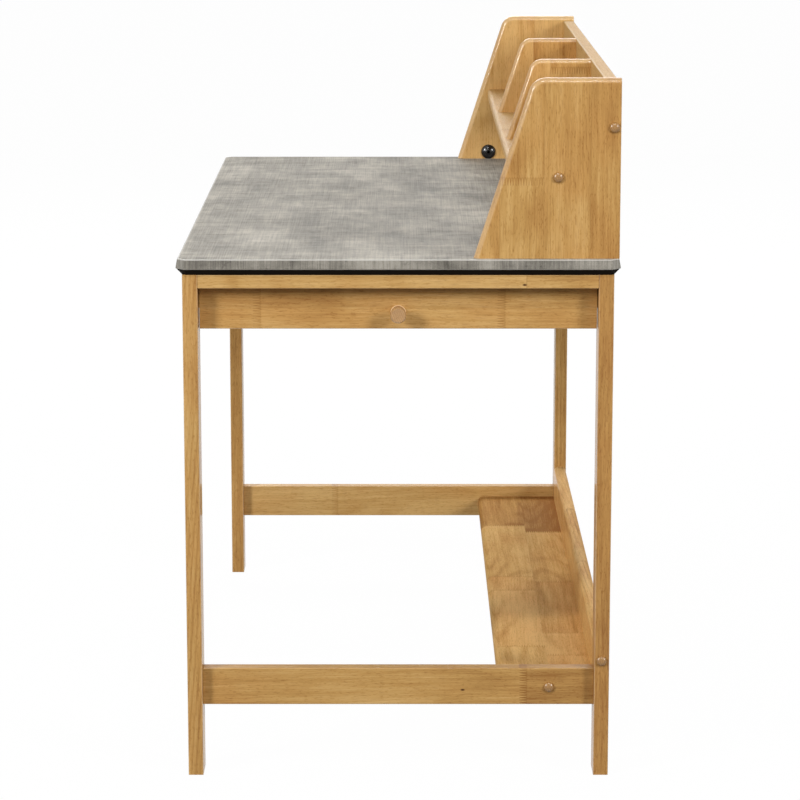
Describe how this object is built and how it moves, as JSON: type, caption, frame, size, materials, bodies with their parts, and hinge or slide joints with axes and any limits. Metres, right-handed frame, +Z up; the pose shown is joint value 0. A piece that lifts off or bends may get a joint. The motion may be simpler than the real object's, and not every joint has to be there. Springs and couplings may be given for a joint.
{
  "type": "writing desk",
  "caption": "Writing desk with an open hutch, a low rear shelf and an end drawer; straight wooden legs under a concrete-look worktop.",
  "frame": {"origin": "on the floor, under the middle of the worktop", "axes": "+X along the desk's length towards the drawer's end, +Y towards the back with the hutch, +Z up"},
  "size_m": [1.2182, 0.6092, 0.9825],
  "materials": {
    "rubberwood": "satin lacquer",
    "concrete_laminate": "matt",
    "painted_core_board": "matt black paint",
    "drawer_box_wood": "satin lacquer",
    "drawer_plywood": "raw",
    "beech_dowel": "raw",
    "zinc_steel": "zinc plated",
    "black_plastic": "gloss"
  },
  "bodies": {
    "desk": {"leg_front_right": "rubberwood", "leg_back_right": "rubberwood", "leg_front_left": "rubberwood", "leg_back_left": "rubberwood", "upper_rail_right": "rubberwood", "upper_rail_left": "rubberwood", "end_apron_left": "rubberwood", "long_apron_front": "rubberwood", "long_apron_back": "rubberwood", "cross_brace": "rubberwood", "lower_rail_right": "rubberwood", "lower_rail_left": "rubberwood", "lower_shelf": "rubberwood", "shelf_fence": "rubberwood", "hutch_side_right": "rubberwood", "hutch_side_left": "rubberwood", "hutch_shelf": "rubberwood", "hutch_back": "rubberwood", "hutch_divider_right": "rubberwood", "hutch_divider_left": "rubberwood", "drawer_runner_front": "rubberwood", "drawer_runner_back": "rubberwood", "frame_button_plugs": "rubberwood", "hutch_button_plugs": "rubberwood", "worktop_core": "painted_core_board", "worktop_laminate": "concrete_laminate", "worktop_edge_band": "concrete_laminate", "rail_bolts": "zinc_steel", "leg_bolts": "zinc_steel", "hutch_bolts": "zinc_steel", "frame_barrel_nuts": "zinc_steel", "hutch_barrel_nuts": "zinc_steel", "apron_cams": "zinc_steel", "apron_cam_bolts": "zinc_steel", "worktop_brackets": "zinc_steel", "bracket_screws": "zinc_steel", "runner_screws": "zinc_steel", "connector_studs": "zinc_steel", "frame_dowels": "beech_dowel", "hutch_dowels": "beech_dowel", "hutch_connectors": "black_plastic"},
    "drawer": {"drawer_front": "rubberwood", "drawer_side_left": "drawer_box_wood", "drawer_side_right": "drawer_box_wood", "drawer_back": "drawer_box_wood", "drawer_bottom": "drawer_plywood", "drawer_knob": "rubberwood", "knob_screw": "zinc_steel", "drawer_dowels": "beech_dowel"}
  },
  "joints": [
    {"name": "drawer_slide", "type": "slide", "parent": "desk", "child": "drawer", "axis": [1, 0, 0], "range_m": [0, 0.3]}
  ]
}
